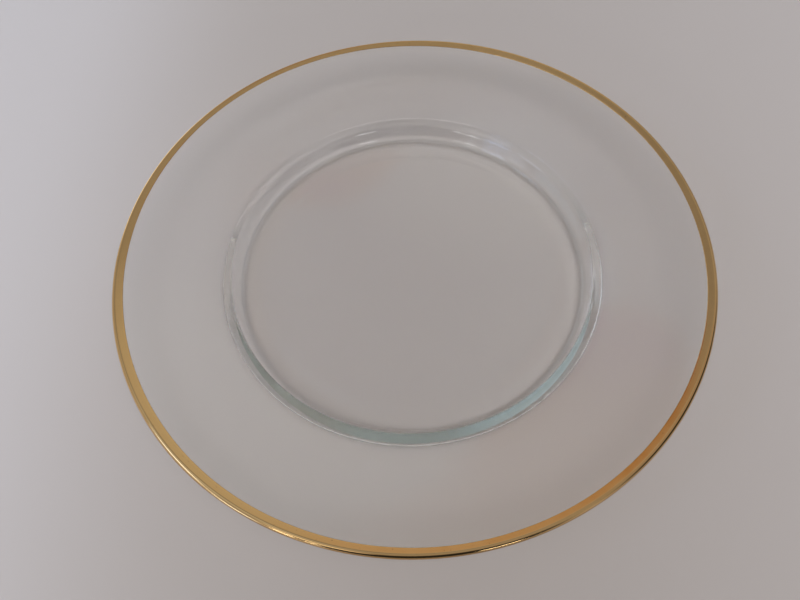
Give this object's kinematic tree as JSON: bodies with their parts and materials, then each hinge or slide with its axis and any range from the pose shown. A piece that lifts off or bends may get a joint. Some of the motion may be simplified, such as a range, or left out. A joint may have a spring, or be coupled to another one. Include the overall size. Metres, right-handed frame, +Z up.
{
  "type": "serving plate",
  "caption": "Round clear glass serving plate with a wide rising rim, a stepped flat well and a gilded full-round lip, for serving food or as a charger under another plate.",
  "frame": {"origin": "centre of the base, on the surface that the plate stands on", "axes": "+Z up along the plate's axis of revolution; X and Y lie in the table"},
  "size_m": [0.33, 0.33, 0.0354],
  "materials": {
    "clear_glass": "fire-polished, clear, with a faint blue-green tint in its thickness",
    "fired_gold": "bright fired gold, brushed on by hand"
  },
  "bodies": {
    "root": {"glass_plate": "clear_glass", "gold_rim_band": "fired_gold"}
  },
  "joints": []
}
